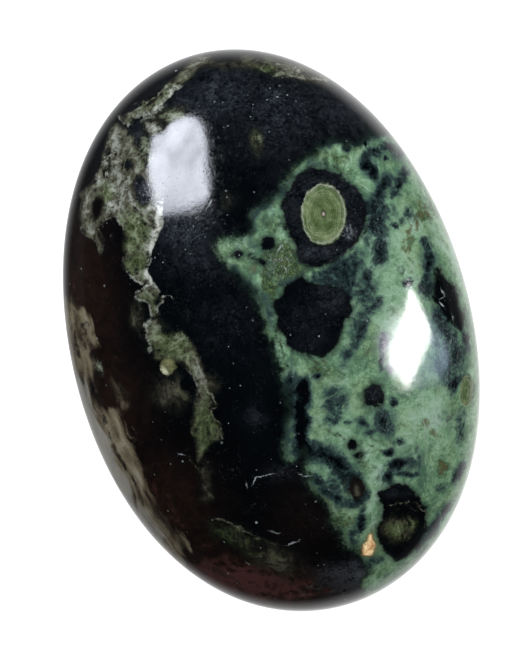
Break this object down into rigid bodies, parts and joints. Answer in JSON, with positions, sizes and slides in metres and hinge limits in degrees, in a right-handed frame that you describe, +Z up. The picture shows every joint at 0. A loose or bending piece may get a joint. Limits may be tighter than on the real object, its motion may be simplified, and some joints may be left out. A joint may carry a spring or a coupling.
{
  "type": "polished kambaba jasper palm stone",
  "caption": "Smooth oval palm stone of dark green and black orbicular kambaba jasper, polished all over, lying on its back.",
  "frame": {"origin": "middle of the small flat on the underside, where the stone rests", "axes": "+Z up through the stone's thickness, +Y along its length towards the slightly narrower end, +X across its width"},
  "size_m": [0.045, 0.064, 0.029],
  "materials": {
    "kambaba_jasper": "polished"
  },
  "bodies": {
    "root": {"kambaba_jasper_stone": "kambaba_jasper"}
  },
  "joints": []
}
